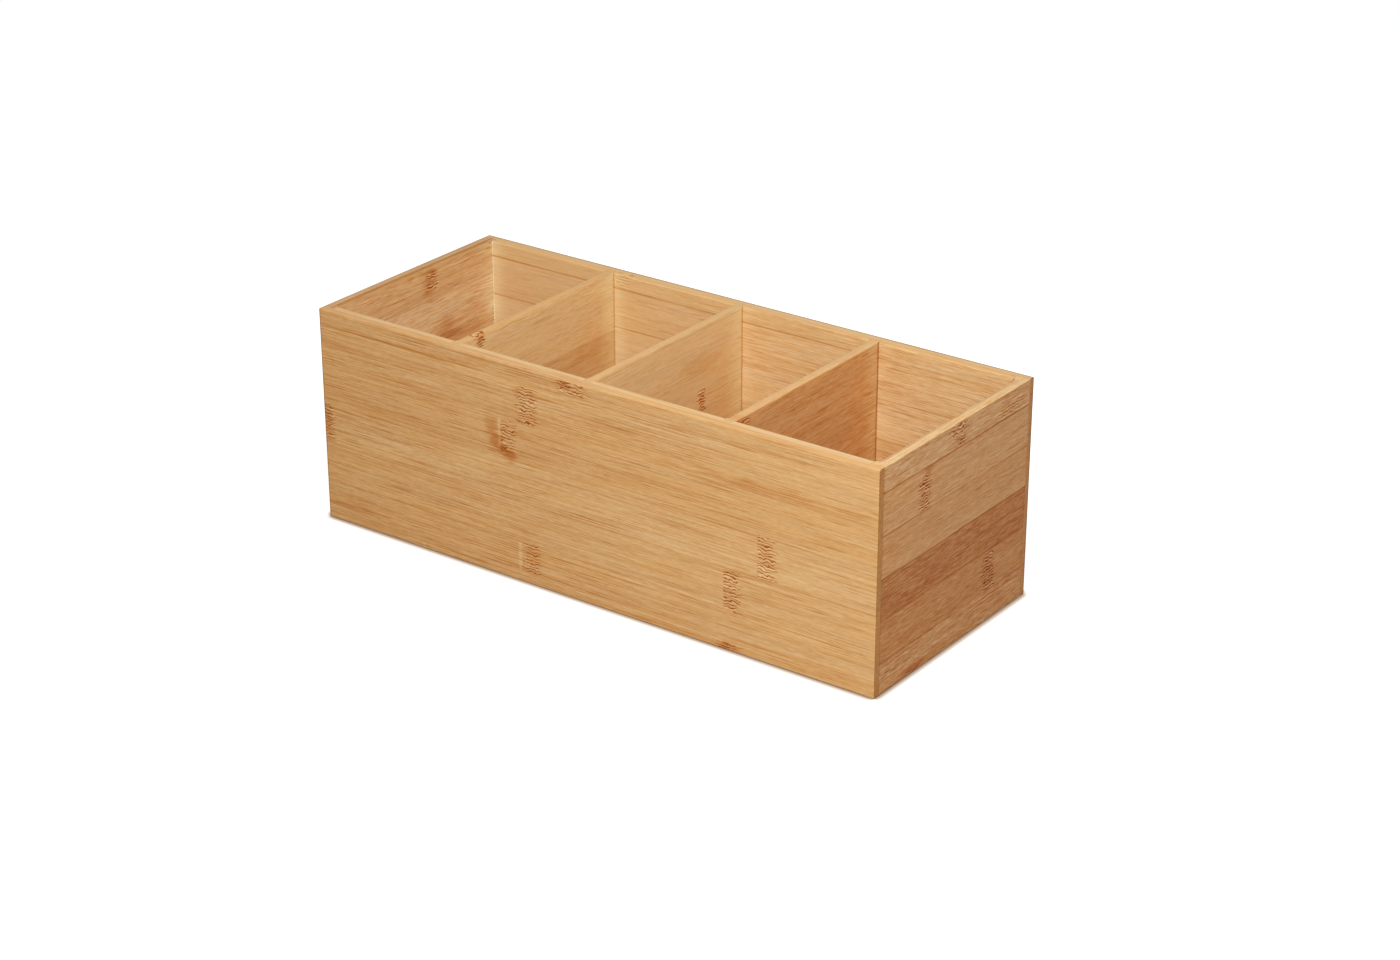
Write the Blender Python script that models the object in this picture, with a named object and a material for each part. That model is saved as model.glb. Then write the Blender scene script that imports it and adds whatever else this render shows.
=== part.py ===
"""Bamboo organizer box: an open box of glued boards with four equal compartments in a row.

The front and back boards run the whole length. The end boards stand in rabbets in them, the
dividers stand in dados, and the bottom board lies in a groove round all four walls.
Metres, +Z up. The origin is on the table under the middle of the box, the length runs along X
and the front faces -Y.
"""

from math import radians

import bmesh
import bpy
from mathutils import Color, Vector

# Outside of the box
BOX_LENGTH = 0.350
BOX_DEPTH = 0.140
BOX_HEIGHT = 0.120

# Boards
WALL_THICKNESS = 0.0075
DIVIDER_THICKNESS = 0.005
BOTTOM_THICKNESS = 0.005
BOTTOM_RAISE = 0.004
DIVIDER_NAMES = ("left_divider", "middle_divider", "right_divider")

# Depth of each joint, as a share of the wall that it is cut into
RABBET_SHARE = 0.5
DADO_SHARE = 0.45
GROOVE_SHARE = 0.4

# Glue gap round each joint
FIT_GAP = 0.0003

# Sanded edges: the inner top edge of the end boards is rounded over for the fingers
EDGE_RADIUS = 0.0008
EDGE_SEGMENTS = 3
END_RIM_RADIUS = 0.004
END_RIM_SEGMENTS = 6
SMOOTH_BELOW = radians(32)

# How far a cut runs past the face that it opens
CUT_OVERRUN = 0.002

# Bamboo tones in sRGB, board by board
BOARD_TONES = {
    "front_panel": (0.80, 0.61, 0.39),
    "back_panel": (0.84, 0.66, 0.45),
    "left_end_panel": (0.78, 0.58, 0.38),
    "right_end_panel": (0.73, 0.53, 0.35),
    "left_divider": (0.81, 0.63, 0.42),
    "middle_divider": (0.81, 0.63, 0.43),
    "right_divider": (0.75, 0.53, 0.33),
    "bottom_panel": (0.80, 0.61, 0.40),
}
BAMBOO_ROUGHNESS = 0.45

# Half sizes, the planes of the inner faces, and the joints
HALF_LENGTH = BOX_LENGTH / 2
HALF_DEPTH = BOX_DEPTH / 2
INNER_X = HALF_LENGTH - WALL_THICKNESS
INNER_Y = HALF_DEPTH - WALL_THICKNESS
RABBET_Y = INNER_Y + WALL_THICKNESS * RABBET_SHARE
DADO_Y = INNER_Y + WALL_THICKNESS * DADO_SHARE
GROOVE_DEPTH = WALL_THICKNESS * GROOVE_SHARE
BOTTOM_TOP = BOTTOM_RAISE + BOTTOM_THICKNESS


def clear_scene():
    for old in list(bpy.data.objects):
        bpy.data.objects.remove(old, do_unlink=True)


def new_collection(name):
    collection = bpy.data.collections.new(name)
    bpy.context.scene.collection.children.link(collection)
    return collection


def new_bamboo(name, tone):
    """Oiled bamboo in one tone. The tone is sRGB."""
    material = bpy.data.materials.new(name)
    material.use_nodes = True
    surface = material.node_tree.nodes["Principled BSDF"]
    linear = Color(tone).from_srgb_to_scene_linear()
    surface.inputs["Base Color"].default_value = (*linear, 1)
    surface.inputs["Roughness"].default_value = BAMBOO_ROUGHNESS
    surface.inputs["Metallic"].default_value = 0
    return material


def new_box(name, low, high, collection, round_off=None):
    """A box between two corners, with its origin in its middle. round_off may round edges of its mesh."""
    low = Vector(low)
    high = Vector(high)
    shape = bmesh.new()
    bmesh.ops.create_cube(shape, size=1)
    bmesh.ops.scale(shape, vec=high - low, verts=shape.verts)
    if round_off:
        round_off(shape)
    mesh = bpy.data.meshes.new(name)
    shape.to_mesh(mesh)
    shape.free()
    box = bpy.data.objects.new(name, mesh)
    box.location = (low + high) / 2
    collection.objects.link(box)
    return box


def new_board(name, low, high, parts, root, round_off=None):
    board = new_box(name, low, high, parts, round_off)
    board.parent = root
    board.data.materials.append(new_bamboo(name + "_bamboo", BOARD_TONES[name]))
    board.data.shade_smooth()
    board.data.set_sharp_from_angle(angle=SMOOTH_BELOW)
    return board


def new_cutter(name, low, high, cutters):
    cutter = new_box(name, low, high, cutters)
    cutter.hide_render = True
    cutter.display_type = "WIRE"
    return cutter


def cut(board, cutter):
    boolean = board.modifiers.new(cutter.name, "BOOLEAN")
    boolean.operation = "DIFFERENCE"
    boolean.solver = "EXACT"
    boolean.object = cutter


def bevel(shape, edges, radius, segments):
    bmesh.ops.bevel(
        shape,
        geom=edges,
        offset=radius,
        segments=segments,
        profile=0.5,
        affect="EDGES",
        clamp_overlap=True,
    )


def edges_along_y(shape, picked):
    """The edges along Y whose middle passes the test."""
    found = []
    for edge in shape.edges:
        start, end = (vertex.co for vertex in edge.verts)
        middle = (start + end) / 2
        if middle.y == 0 and picked(middle):
            found.append(edge)
    return found


def round_whole_board(shape):
    bevel(shape, list(shape.edges), EDGE_RADIUS, EDGE_SEGMENTS)


def round_divider_rim(shape):
    bevel(shape, edges_along_y(shape, lambda middle: middle.z > 0), EDGE_RADIUS, EDGE_SEGMENTS)


def round_end_board(side):
    """side is 1 for the right end board and -1 for the left one."""

    def round_off(shape):
        def on_inner_rim(middle):
            return middle.x * side < 0 < middle.z

        inner_rim = edges_along_y(shape, on_inner_rim)
        others = edges_along_y(shape, lambda middle: not on_inner_rim(middle))
        bevel(shape, others, EDGE_RADIUS, EDGE_SEGMENTS)
        bevel(shape, [edge for edge in inner_rim if edge.is_valid], END_RIM_RADIUS, END_RIM_SEGMENTS)

    return round_off


def divider_centres():
    """Middle of each divider along X, with compartments of equal width between the end boards."""
    count = len(DIVIDER_NAMES)
    clear_width = (2 * INNER_X - count * DIVIDER_THICKNESS) / (count + 1)
    pitch = clear_width + DIVIDER_THICKNESS
    return [(index - (count - 1) / 2) * pitch for index in range(count)]


def add_end_boards(parts, root, cutters):
    """The end boards, and the rabbets that the long boards need for them."""
    boards = []
    rabbets = []
    for name, side in (("left_end_panel", -1), ("right_end_panel", 1)):
        near, far = sorted((side * INNER_X, side * HALF_LENGTH))
        low = (near, FIT_GAP - RABBET_Y, 0)
        high = (far, RABBET_Y - FIT_GAP, BOX_HEIGHT)
        boards.append(new_board(name, low, high, parts, root, round_end_board(side)))
        near, far = sorted((side * (INNER_X - FIT_GAP), side * (HALF_LENGTH + CUT_OVERRUN)))
        low = (near, -RABBET_Y, -CUT_OVERRUN)
        high = (far, RABBET_Y, BOX_HEIGHT + CUT_OVERRUN)
        rabbets.append(new_cutter(name + "_rabbet", low, high, cutters))
    return boards, rabbets


def add_dividers(parts, root, cutters):
    """The dividers, and the dados that the long boards need for them."""
    dados = []
    for name, centre in zip(DIVIDER_NAMES, divider_centres()):
        half = DIVIDER_THICKNESS / 2
        low = (centre - half, FIT_GAP - DADO_Y, BOTTOM_TOP + FIT_GAP)
        high = (centre + half, DADO_Y - FIT_GAP, BOX_HEIGHT)
        new_board(name, low, high, parts, root, round_divider_rim)
        low = (centre - half - FIT_GAP, -DADO_Y, BOTTOM_TOP)
        high = (centre + half + FIT_GAP, DADO_Y, BOX_HEIGHT + CUT_OVERRUN)
        dados.append(new_cutter(name + "_dado", low, high, cutters))
    return dados


def add_bottom(parts, root, cutters):
    """The bottom board, and its grooves: one through the long boards and one through the end boards."""
    reach_x = INNER_X + GROOVE_DEPTH
    reach_y = INNER_Y + GROOVE_DEPTH
    low = (FIT_GAP - reach_x, FIT_GAP - reach_y, BOTTOM_RAISE)
    high = (reach_x - FIT_GAP, reach_y - FIT_GAP, BOTTOM_TOP)
    new_board("bottom_panel", low, high, parts, root)
    groove_low = BOTTOM_RAISE - FIT_GAP
    groove_high = BOTTOM_TOP + FIT_GAP
    past_x = HALF_LENGTH + CUT_OVERRUN
    past_y = HALF_DEPTH + CUT_OVERRUN
    long_groove = new_cutter(
        "long_board_groove", (-past_x, -reach_y, groove_low), (past_x, reach_y, groove_high), cutters
    )
    end_groove = new_cutter(
        "end_board_groove", (-reach_x, -past_y, groove_low), (reach_x, past_y, groove_high), cutters
    )
    return long_groove, end_groove


def add_long_boards(parts, root):
    boards = []
    for name, side in (("front_panel", -1), ("back_panel", 1)):
        near, far = sorted((side * INNER_Y, side * HALF_DEPTH))
        low = (-HALF_LENGTH, near, 0)
        high = (HALF_LENGTH, far, BOX_HEIGHT)
        boards.append(new_board(name, low, high, parts, root, round_whole_board))
    return boards


def build_box():
    parts = new_collection("bamboo_organizer_box")
    cutters = new_collection("cutters")
    root = bpy.data.objects.new("bamboo_organizer_box", None)
    parts.objects.link(root)
    long_boards = add_long_boards(parts, root)
    end_boards, rabbets = add_end_boards(parts, root, cutters)
    dados = add_dividers(parts, root, cutters)
    long_groove, end_groove = add_bottom(parts, root, cutters)
    for board in long_boards:
        for cutter in (*rabbets, *dados, long_groove):
            cut(board, cutter)
    for board in end_boards:
        cut(board, end_groove)


clear_scene()
build_box()
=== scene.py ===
"""Looks of the bamboo organizer box: eight boards with eased edges and tight glued joints, in
procedural bamboo with its strips, fibres and knuckles, on a pale floor in soft studio light.
Metres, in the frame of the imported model: the length runs along X, the front faces -Y, +Z up.
"""

import math
from typing import NamedTuple

import bmesh
import bpy
from mathutils import Color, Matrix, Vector


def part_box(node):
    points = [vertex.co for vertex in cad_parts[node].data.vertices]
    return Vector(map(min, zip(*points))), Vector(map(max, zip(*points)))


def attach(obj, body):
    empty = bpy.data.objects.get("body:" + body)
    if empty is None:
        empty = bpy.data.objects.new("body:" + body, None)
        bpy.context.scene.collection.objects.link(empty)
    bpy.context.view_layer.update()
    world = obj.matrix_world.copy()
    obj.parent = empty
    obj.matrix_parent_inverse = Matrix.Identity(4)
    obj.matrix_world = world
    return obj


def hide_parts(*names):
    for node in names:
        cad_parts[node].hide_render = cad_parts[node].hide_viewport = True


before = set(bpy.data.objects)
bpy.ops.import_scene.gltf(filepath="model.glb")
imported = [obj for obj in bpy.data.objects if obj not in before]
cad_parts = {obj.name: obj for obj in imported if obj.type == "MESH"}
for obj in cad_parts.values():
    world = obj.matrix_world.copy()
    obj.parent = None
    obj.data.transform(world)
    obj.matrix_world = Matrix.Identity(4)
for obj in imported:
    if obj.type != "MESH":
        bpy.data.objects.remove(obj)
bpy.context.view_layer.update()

# Camera: the photograph's viewing angle, lens and framing
CAMERA_AZIMUTH = math.radians(36.14)
CAMERA_ELEVATION = math.radians(24.48)
CAMERA_DISTANCE = 1.567
CAMERA_TARGET = Vector((0.021, 0, 0.048))
CAMERA_LENS = 78.16
CAMERA_SENSOR = 36

# Light: one big soft lamp above the front right corner, and an even surround that looks white
KEY_PLACE = Vector((0.57, -0.68, 1.00))
KEY_AIM = Vector((0.02, 0, 0.06))
KEY_SIZE = 0.85
KEY_POWER = 17.0
SURROUND_STRENGTH = 0.42

# Floor: its tone where it only sends light to the box, and its tone and glow where it is seen
FLOOR_SIZE = 8
FLOOR_TONE = (0.55, 0.55, 0.55, 1)
FLOOR_SEEN_TONE = (0.92, 0.92, 0.92, 1)
FLOOR_GLOW = 0.50
# The painted contact shadow, a warm dark line where the box meets the floor, taken from ambient occlusion:
# how far it reaches, and how fast red, green and blue darken in it
CONTACT_REACH = 0.005
CONTACT_POWERS = (2.4, 2.8, 3.2)

# The boards that stand between the two long ones: the ends, each with its side, and the dividers
ENDS = {"left_end_panel": -1, "right_end_panel": 1}
DIVIDERS = ("left_divider", "middle_divider", "right_divider")

# Joints: the CAD leaves a gap in each, and here only a hairline of glue shows
CAD_GAP = 0.0003
JOINT_GAP = 0.00006
# How far a cut runs on past what it cuts
CUT_OVERRUN = 0.002

# Sanded edges: the usual radius, the one of the long boards' outer rims, and the share of the usual one
# where an edge is only taken off
EDGE_RADIUS = 0.0009
SOFT_RIM_RADIUS = 0.0012
CRISP_SHARE = 0.45
EDGE_SEGMENTS = 5
# Rounded rims: the ends' inner ones, and both of each divider's, which start small at the long boards
END_RIM_RADIUS = 0.004
END_RIM_SEGMENTS = 10
DIVIDER_RIM_RADIUS = 0.0010
DIVIDER_RIM_START = 0.0002
# How far from the long boards a rounded rim has its full radius, and in how many steps it gets there
RIM_FADE = 0.0018
RIM_STEPS = 4
# Faces that meet at less than this are shaded as one
SMOOTH_BELOW = math.radians(32)

# Below, a pair of numbers says where a mask is nothing and where it is full. For a face it is a pair of
# cosines, of the angle between the direction that it looks in and an axis. A number of steps is an amount
# of browning, and below 0 it makes the wood paler.


class Pattern(NamedTuple):
    """A noise over the wood. Its seed is the strip's or the board's, shifted so that no two run alike."""
    size: tuple  # of its features along, across and through the board
    detail: float = 2.0
    roughness: float = 0.5
    shift: float = 0.0
    gain: float = 0.0  # for one that swings over this much, half to either side of nothing
    step: tuple = ()  # for a mask: where it starts and is full in the noise, and its least and most


class Layer(NamedTuple):
    """Soft fibres of one size, from a noise with cells of this length and width."""
    length: float
    width: float
    gain: float  # the browning between their darkest and their palest
    detail: float


class Hair(NamedTuple):
    """Dark hairs of one size: fibre bundles that show as crisp lines where their noise passes start."""
    length: float
    width: float
    start: float
    end: float  # where they are full
    gain: float  # the browning of a full one


class Knuckle(NamedTuple):
    """The place where a strip was a joint of the cane, and where its fibres bend."""
    along: float  # its middle along the grain
    low: float  # its ends across the grain
    high: float
    length: float  # how far it spreads along the grain
    force: float = 1.0  # how strong its bent fibres show
    ridge: float = None  # where its pale line lies, in half lengths from its middle, if it has one
    side: int = 0  # where it ends in a straight line: -1 at its start, 1 at its end, 0 nowhere
    swirl: float = 0.0  # how much its strokes curl


class Stain(NamedTuple):
    """A brown stain with a torn edge: an ellipse by its middle and its half sizes."""
    along: float
    across: float
    length: float
    height: float
    force: float


class Corner(NamedTuple):
    """The line where the face of another board meets the back board, from which masks fade along it."""
    along: float
    seam: float  # steps of browning on the line: the joint's gap and painted shade in the corner, and below 0 a painted highlight
    band: float  # steps of browning of the wood beside it
    painted_light: float  # painted light near the corner, which makes the wood beside it less red and a little paler


class Darkening(NamedTuple):
    """A stretch that is browned darker by a given amount. Along an edge that looks away from the lamp it
    is painted shade.
    """
    axis: str
    side: int  # where it lies along that axis, -1 or 1
    start: float  # how far out it begins
    force: float  # steps of browning
    width: float = 0.0005  # over how much it fades in
    on: str = None  # the direction that its face looks in, such as -Y, if it is on one face alone
    painted_shade: float = 0.0  # painted shade: the share of the light that it takes from all colours alike


class Slope(NamedTuple):
    """A value along the grain: low up to start, high from end on, and a smooth rise or fall between."""
    start: float
    end: float
    low: float
    high: float


class Board(NamedTuple):
    """How the bamboo of one board looks."""
    along: str  # the axis of its grain
    through: str  # the axis of its thickness
    first_joint: float  # where its first glue line lies, across the grain
    seed: float  # of its noises
    wood: tuple  # the colour that its strips start from
    strips: tuple  # the steps that each strip is browned by from there, from the top one down
    knuckles: tuple
    stains: tuple = ()
    corners: tuple = ()
    darkenings: tuple = ()
    strength: tuple = ()  # how much the fibres of each strip show, where the strips differ
    contrast: float = 1.0  # how much its fibres show on the whole
    stretch: float = 1.0  # how long its fibres are, next to the usual ones
    flecks: float = 1.3  # the browning between its darkest and its palest flecks
    glue: tuple = ()  # the steps of each glue line from the top one down, where they differ
    calm: Slope = None  # the share of the browning that shows along it
    fade: Slope = None  # more browning along it
    painted_light: Slope = None  # painted light near the back board, which makes its sides less red and a little paler, along it
    edge_wear_and_shade: float = -0.1  # the steps on its eased edges: paler wear below 0, and above 0 painted shade that tones down the highlight where they catch the lamp
    rim: tuple = (0.84, 0.67, 0.46)  # the colour of its rim
    rim_reach: tuple = (0.35, 0.90)  # the pair of cosines between which the rim begins
    end: tuple = (0.66, 0.46, 0.25)  # the colour of its cut ends
    shaded_rounding: bool = False  # whether its rounded rim is a dark band of painted shade with a line along it
    lit_rounding: int = 0  # the side that its rounded rim looks to, if that is a pale band of painted light


# Bamboo stock: strips glued edge to edge, and the glue lines, which come and go
STRIP_WIDTH = 0.0224
GLUE_REACH = (0.0007, 0.000175)
GLUE_STEPS = 0.2
GLUE_PATCHES = Pattern((0.045, 0.020, 0.020), step=(0.35, 0.60, 0.35, 1.0))
# The seeds of one board's strips lie within this range
SEED_RANGE = 37.0

# Strengths are kept in colour ramps, which hold numbers up to 1, divided by this
STRENGTH_SCALE = 4.0

# What one step of browning and one step of reddening leave of red, green and blue
BROWNING = (0.765, 0.572, 0.396)
REDDENING = (1.0, 0.82, 0.74)

# Fibres, from fine ones to broad bands
FINE_FIBRES = Layer(0.014, 0.00048, 1.65, 2.0)
FIBRE_BANDS = (
    Layer(0.070, 0.0013, 0.40, 2.0),
    Layer(0.180, 0.0034, 0.27, 1.0),
    Layer(0.260, 0.0090, 0.42, 1.0),
)
FIBRE_ROUGHNESS = 0.55
# Short flecks between the fibres
FLECKS = Pattern((0.0042, 0.00040, 0.00040), 1.0, shift=6.0)

# Dark hairs, and the groups that they stand in
HAIR_LAYERS = (
    Hair(0.0065, 0.00038, 0.55, 0.66, 0.85),
    Hair(0.0180, 0.00048, 0.56, 0.67, 0.75),
    Hair(0.0900, 0.00075, 0.61, 0.72, 0.38),
)
HAIR_SHIFT = 5.0
HAIR_DETAIL = 1.0
HAIR_ROUGHNESS = 0.6
HAIR_GROUPS = Pattern((0.030, 0.0045, 0.005), 1.0, shift=4.0, step=(0.35, 0.60, 0.45, 1.05))

# Knuckles: what frays their ends and what bends their fibres
KNUCKLE_FRAY = Pattern((0.0060, 0.0016, 0.004), 1.0, gain=0.012)
KNUCKLE_SWAY = Pattern((0.0032, 0.0030, 0.004), 1.0, gain=0.0036)
# How far they and their swirls reach along the grain, in half lengths
KNUCKLE_REACH = (1.5, 0.6)
SWIRL_REACH = (2.4, 1.6)
# Over how much they fade in at their ends across the grain, and at a straight end along it
KNUCKLE_BORDER = 0.001
KNUCKLE_STOP = 0.0005
RIDGE_REACH = (0.0016, 0.0004)
RIDGE_STEPS = -0.4

# Wavy strokes in the knuckles: their pitch, how far their phase turns, and where they are missing
STROKE_PITCH = 0.0017
STROKE_TURN = 5.0
STROKE_TURNS = Pattern((0.0055, 0.0028, 0.003), 1.0, shift=2.0)
STROKE_PATCHES = Pattern((0.0035, 0.0010, 0.001), 1.0, shift=3.0, step=(0.38, 0.52, 0.3, 1.0))
# Where a stroke's wave, from -1 to 1, is a dark one and where a pale one, and the steps of each, the
# wood between them and how much redder the pale ones are
DARK_STROKE = (0.15, 1.0)
PALE_STROKE = (0.2, -0.7)
DARK_STROKE_STEPS = 1.6
PALE_STROKE_STEPS = -0.42
BETWEEN_STROKES_STEPS = 0.05
PALE_STROKE_REDNESS = 0.5

# Stains: what tears their edges, how far in their own sizes they reach, and how red they are. A thin
# one is torn less, by its height.
STAIN_EDGE = Pattern((0.0160, 0.0021, 0.004), gain=0.013)
STAIN_TEAR = 180
THIN_STAIN_TEAR = 60000
STAIN_REACH = (1.15, 0.1)
STAIN_REDNESS = 0.35

# The share of its fibres that a rim doesn't show
RIM_CALM = 0.5
# A face that counts as lying on one side of the board, and one that counts as a cut end
SIDE_FACING = (0.3, 0.7)
END_FACING = (0.55, 0.90)

# Eased edges are paler from wear or, on boards whose edges catch the lamp, browned as painted shade, in
# patches where no axis is squarely faced
EASED_FACING = (0.985, 0.90)
EDGE_PATCHES = Pattern((0.012, 0.012, 0.012), step=(0.40, 0.62, 0.4, 1.2))

# Corners on the back board's inner face: where they start, how far the seam with its painted shade, the
# wood beside it and the painted light reach, and how much paler full painted light makes the wood
INNER_FACING = 0.5
CORNER_START = -0.0002
SEAM_SHADING_REACH = (0.0009, 0.0004)
BAND_REACH = (0.0095, 0.0010)
PAINTED_LIGHT_REACH = (0.0130, 0.0070)
PAINTED_LIGHT_STEPS = -0.2

# Rounded rims of the end boards, with painted shade on the left one's and painted light on the right one's
ROUNDING_UP = (0.10, 0.40)
# The right end's rounding: painted light, which makes it paler
PALE_ROUNDING_FACING = (0.03, 0.16)
PALE_ROUNDING_STEPS = -0.25
# The left end's rounding: painted shade, browned and greyed
DARK_ROUNDING_FACING = (0.05, 0.30)
DARK_ROUNDING_STEPS = 0.35
DARK_ROUNDING_SHADE = (0.75, 0.75, 0.75, 1)
# The flat rest of the rim with the shaded rounding, and the line along that rounding, which is part of its
# painted shade, by its place in X
FLAT_RIM_FACING = (0.93, 0.985)
RIM_LINE_PLACE = -0.1701
RIM_LINE_REACH = (0.0012, 0.0002)
RIM_LINE_FACING = 0.5
RIM_LINE_STEPS = 0.75

# Cut ends: the fibres end on, and the dark brink that they turn over at
END_SPECKLE = Pattern((0.020, 0.0006, 0.0006), roughness=0.6, step=(0.38, 0.62, -0.1, 0.35))
BRINK_FACING = 0.78
BRINK_REACH = (0.20, 0.10)
BRINK_STEPS = 1.2

# Warmer and cooler wood, in long soft patches
BLUSH = Pattern((0.080, 0.0060, 0.006), shift=7.0, step=(0.38, 0.62))
WARM_HUE = (1.016, 1.011, 0.986, 1)
COOL_HUE = (0.984, 0.989, 1.014, 1)

# Oiled bamboo is only faintly glossy: its roughness, and what fine fibres and dark strokes add to it
SPECULAR_LEVEL = 0.06
ROUGHNESS = 0.42
FIBRE_ROUGHENING = 0.16
STROKE_ROUGHENING = 0.10

# Relief: its depth, and the shares of it that fine fibres, hairs, strokes and glue lines are sunk by
RELIEF_DEPTH = 0.00015
RELIEF_STRENGTH = 0.5
FIBRE_RELIEF = -0.6
HAIR_RELIEF = -0.3
STROKE_RELIEF = -0.9
GLUE_RELIEF = -0.6

# The back board, the left end board and the dividers, whose faces are seen inside the box, start from
# paler wood than the front: painted light, since the inside is lit more dimly. The right end board starts
# from darker wood: painted shade for that side.
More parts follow.
